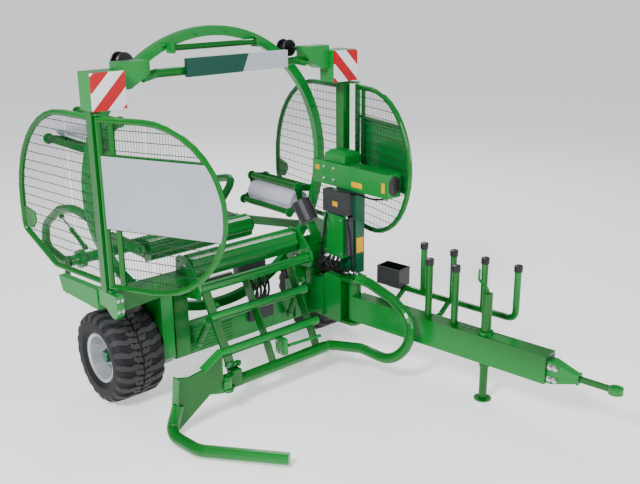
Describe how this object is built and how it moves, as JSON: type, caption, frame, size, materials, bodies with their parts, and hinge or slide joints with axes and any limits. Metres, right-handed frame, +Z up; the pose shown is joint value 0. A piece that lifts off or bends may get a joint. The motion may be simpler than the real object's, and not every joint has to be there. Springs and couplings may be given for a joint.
{
  "type": "round bale wrapper, trailed, vertical ring",
  "caption": "Trailed farm bale wrapper with a vertical wrapping ring, hinged side guards, a front loader and an offset drawbar.",
  "frame": {"origin": "ground level, under the centre of the machine's box", "axes": "+X towards the towing eye, +Y to the machine's left, +Z up"},
  "size_m": [5.6334, 3.1534, 3.3093],
  "materials": {
    "green_paint": "gloss",
    "deep_green": "gloss",
    "rim": "satin",
    "tyre": "matte",
    "black_plastic": "satin",
    "film": "gloss",
    "board": "satin",
    "mesh_wire": "satin",
    "sign_sheet": "satin"
  },
  "bodies": {
    "chassis": {"axle_beam": "green_paint", "chassis_head": "green_paint", "chassis_side_left": "green_paint", "chassis_side_right": "green_paint", "cross_beam": "green_paint", "oil_filter": "black_plastic", "pack_column": "deep_green", "pack_cover": "green_paint", "post_left": "green_paint", "post_right": "green_paint", "rear_frame": "green_paint", "ring_roller_lower_left": "black_plastic", "ring_roller_lower_right": "black_plastic", "ring_roller_upper_left": "black_plastic", "ring_roller_upper_right": "black_plastic", "side_roller": "black_plastic", "sign_box": "deep_green", "tank_beam": "green_paint", "top_bar": "green_paint", "valve_block": "black_plastic", "warning_board_left": "board", "warning_board_right": "board"},
    "drawbar": {"drawbar_beam": "green_paint", "film_rack": "green_paint", "jack_sleeve": "green_paint", "toolbox": "black_plastic", "towing_eye": "green_paint"},
    "wrapping_ring_assembly": {"film_dispenser_1": "green_paint", "film_dispenser_2": "green_paint", "film_roll_1": "film", "film_roll_2": "film", "ring_bar": "green_paint", "wrapping_ring": "green_paint"},
    "fork": {"fork_arm": "green_paint"},
    "front_roller": {"front_roller": "green_paint"},
    "guard_front_left": {"guard_front_left_frame": "green_paint", "guard_front_left_mesh": "mesh_wire", "guard_front_left_sheet": "sign_sheet"},
    "guard_front_right": {"guard_front_right_frame": "green_paint", "guard_front_right_mesh": "mesh_wire", "guard_front_right_sheet": "sign_sheet"},
    "guard_rear_left": {"guard_rear_left_frame": "green_paint", "guard_rear_left_mesh": "mesh_wire"},
    "guard_rear_right": {"guard_rear_right_frame": "green_paint", "guard_rear_right_mesh": "mesh_wire"},
    "jack_leg": {"jack_leg": "green_paint"},
    "loader": {"loader_hoop": "green_paint", "loader_ladder": "green_paint"},
    "rear_roller": {"rear_roller": "green_paint"},
    "rear_table": {"rear_table": "green_paint"},
    "wheel_left": {"rim_left": "rim", "tyre_left": "tyre"},
    "wheel_right": {"rim_right": "rim", "tyre_right": "tyre"}
  },
  "joints": [
    {"name": "wheel_right_spin", "type": "hinge", "parent": "chassis", "child": "wheel_right", "pos_m": [-0.80698, -1.22123, 0.4325], "axis": [0, 1, 0], "continuous": true},
    {"name": "wheel_left_spin", "type": "hinge", "parent": "chassis", "child": "wheel_left", "pos_m": [-0.80698, 1.21883, 0.4325], "axis": [0, 1, 0], "continuous": true},
    {"name": "wrapping_ring_spin", "type": "hinge", "parent": "chassis", "child": "wrapping_ring_assembly", "pos_m": [-0.90698, -0.0012, 1.92], "axis": [1, 0, 0], "continuous": true},
    {"name": "front_roller_spin", "type": "hinge", "parent": "chassis", "child": "front_roller", "pos_m": [-0.53698, -0.0012, 1.18], "axis": [0, 1, 0], "continuous": true},
    {"name": "rear_table_tip", "type": "hinge", "parent": "chassis", "child": "rear_table", "pos_m": [-1.95698, -0.0012, 1], "axis": [0, -1, 0], "range_deg": [0, 60]},
    {"name": "rear_roller_spin", "type": "hinge", "parent": "rear_table", "child": "rear_roller", "pos_m": [-1.27698, -0.0012, 1.18], "axis": [0, 1, 0], "continuous": true},
    {"name": "loader_lift", "type": "hinge", "parent": "chassis", "child": "loader", "pos_m": [-0.30698, -0.0012, 1.04], "axis": [0, -1, 0], "range_deg": [0, 65]},
    {"name": "fork_fold", "type": "hinge", "parent": "loader", "child": "fork", "pos_m": [0.17802, -0.7162, 0.255], "axis": [0, 0, 1], "range_deg": [0, 30]},
    {"name": "drawbar_swing", "type": "hinge", "parent": "chassis", "child": "drawbar", "pos_m": [0.01302, 1.0038, 0.39], "axis": [0, 0, 1], "range_deg": [0, 15]},
    {"name": "jack_slide", "type": "slide", "parent": "drawbar", "child": "jack_leg", "axis": [0, 0, 1], "range_m": [0, 0.25]},
    {"name": "guard_front_right_open", "type": "hinge", "parent": "chassis", "child": "guard_front_right", "pos_m": [-0.49898, -1.4012, 1.208], "axis": [0, 0, -1], "range_deg": [0, 80]},
    {"name": "guard_rear_right_open", "type": "hinge", "parent": "chassis", "child": "guard_rear_right", "pos_m": [-0.65498, -1.4012, 1.208], "axis": [0, 0, 1], "range_deg": [0, 60]},
    {"name": "guard_front_left_open", "type": "hinge", "parent": "chassis", "child": "guard_front_left", "pos_m": [-0.46398, 1.4888, 1.208], "axis": [0, 0, 1], "range_deg": [0, 70]},
    {"name": "guard_rear_left_open", "type": "hinge", "parent": "chassis", "child": "guard_rear_left", "pos_m": [-0.65498, 1.3988, 1.208], "axis": [0, 0, -1], "range_deg": [0, 60]}
  ]
}
